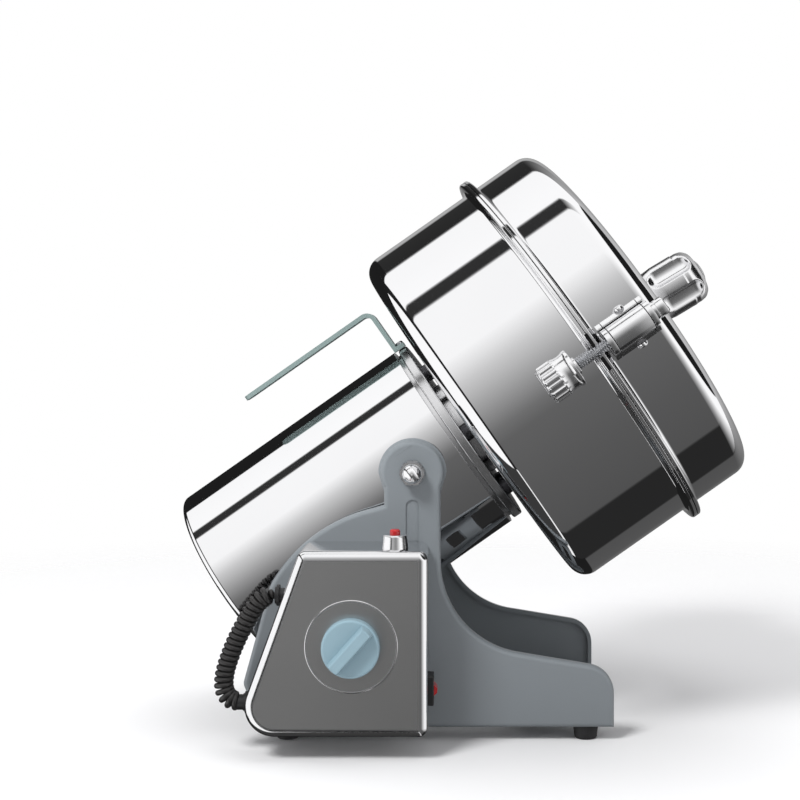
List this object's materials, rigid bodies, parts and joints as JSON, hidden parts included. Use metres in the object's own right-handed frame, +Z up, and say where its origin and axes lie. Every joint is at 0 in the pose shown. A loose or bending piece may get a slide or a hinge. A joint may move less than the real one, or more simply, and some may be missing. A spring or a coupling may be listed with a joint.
{
  "type": "electric grain mill",
  "caption": "Tilting electric grain mill: lidded steel bowl with blades on a motor, hung between side plates with a control box, timer knob and curly cord.",
  "frame": {"origin": "on the floor, at the middle of the machine's length and width without its cord", "axes": "+X towards the pouring side, -Y towards the control box, +Z up"},
  "size_m": [0.3567, 0.2926, 0.3559],
  "materials": {
    "black_plastic": "matte",
    "blade_steel": "ground",
    "bowl_steel": "mirror polished stainless",
    "box_steel": "satin",
    "brushed_parts": "brushed",
    "carbon": "carbon",
    "cast_alloy": "cast",
    "chrome_parts": "polished",
    "copper": "enamelled copper",
    "cord_rubber": "satin",
    "dark_steel": "dark",
    "frame_paint": "satin grey",
    "handle_paint": "grey-green satin",
    "knob_plastic": "blue grey",
    "mirror_steel": "mirror polished stainless",
    "panel_steel": "satin",
    "red_plastic": "gloss",
    "rubber": "matte",
    "silicone": "matte",
    "zinc": "plated"
  },
  "bodies": {
    "frame": {"near_side_plate": "frame_paint", "far_side_plate": "frame_paint", "front_cross_plate": "frame_paint", "rear_cross_plate": "frame_paint", "rubber_feet": "rubber", "foot_screws": "zinc", "control_box": "box_steel", "control_panel": "panel_steel", "timer_body": "black_plastic", "reset_collar": "chrome_parts", "breaker_body": "black_plastic", "rocker_frame": "black_plastic", "terminal_block": "silicone", "box_screws": "zinc", "lower_cord_gland": "black_plastic", "upper_cord_gland": "black_plastic", "curly_cord": "cord_rubber", "mains_gland": "black_plastic"},
    "mill": {"motor_casing": "mirror_steel", "rear_cap": "brushed_parts", "pivot_bosses": "brushed_parts", "pivot_studs": "zinc", "pivot_washers": "zinc", "pivot_nuts": "chrome_parts", "front_flange": "brushed_parts", "bowl_spacers": "dark_steel", "bowl_bolts": "zinc", "grinding_bowl": "bowl_steel", "shaft_seal": "rubber", "tilt_handle": "handle_paint", "handle_screws": "zinc", "rear_bell": "cast_alloy", "front_bearing": "zinc", "rear_bearing": "zinc", "stator_core": "dark_steel", "field_coils": "copper", "brush_holders": "black_plastic", "brushes": "carbon"},
    "rotor": {"motor_shaft": "brushed_parts", "armature": "dark_steel", "commutator": "copper", "cooling_fan": "black_plastic", "lower_blade": "blade_steel", "upper_blade": "blade_steel", "blade_spacers": "brushed_parts", "blade_nut": "chrome_parts"},
    "lid": {"lid": "mirror_steel", "lid_seal": "silicone", "clamp_brackets": "chrome_parts", "bracket_screws": "chrome_parts", "clamp_rods": "chrome_parts", "lid_knob": "chrome_parts", "lid_knob_stud": "zinc"},
    "near_nut": {"near_clamp_nut": "chrome_parts"},
    "far_nut": {"far_clamp_nut": "chrome_parts"},
    "timer_knob": {"timer_knob": "knob_plastic", "timer_shaft": "zinc"},
    "rocker": {"rocker_button": "red_plastic"},
    "reset_button": {"reset_button": "red_plastic"}
  },
  "joints": [
    {"name": "mill_tilt", "type": "hinge", "parent": "frame", "child": "mill", "pos_m": [-0.03025, 0, 0.16], "axis": [0, 1, 0], "range_deg": [-55, 30]},
    {"name": "rotor_spin", "type": "hinge", "parent": "mill", "child": "rotor", "pos_m": [-0.03025, 0, 0.16], "axis": [0.8192, 0, 0.5736], "continuous": true},
    {"name": "lid_swing", "type": "hinge", "parent": "mill", "child": "lid", "pos_m": [0.07419, -0.135, 0.23313], "axis": [0.8192, 0, 0.5736], "range_deg": [0, 110]},
    {"name": "near_nut_turn", "type": "hinge", "parent": "lid", "child": "near_nut", "pos_m": [0.04511, -0.135, 0.21277], "axis": [0.8192, 0, 0.5736], "continuous": true},
    {"name": "far_nut_turn", "type": "hinge", "parent": "lid", "child": "far_nut", "pos_m": [0.04511, 0.135, 0.21277], "axis": [0.8192, 0, 0.5736], "continuous": true},
    {"name": "timer_turn", "type": "hinge", "parent": "frame", "child": "timer_knob", "pos_m": [-0.06345, -0.116, 0.0657], "axis": [0, 1, 0], "range_deg": [0, 300]},
    {"name": "rocker_tilt", "type": "hinge", "parent": "frame", "child": "rocker", "pos_m": [-0.01965, -0.095, 0.037], "axis": [0, 1, 0], "range_deg": [-8, 0]},
    {"name": "reset_press", "type": "slide", "parent": "frame", "child": "reset_button", "axis": [0, 0, 1], "range_m": [-0.002, 0], "stiffness_N_per_m": 200}
  ]
}
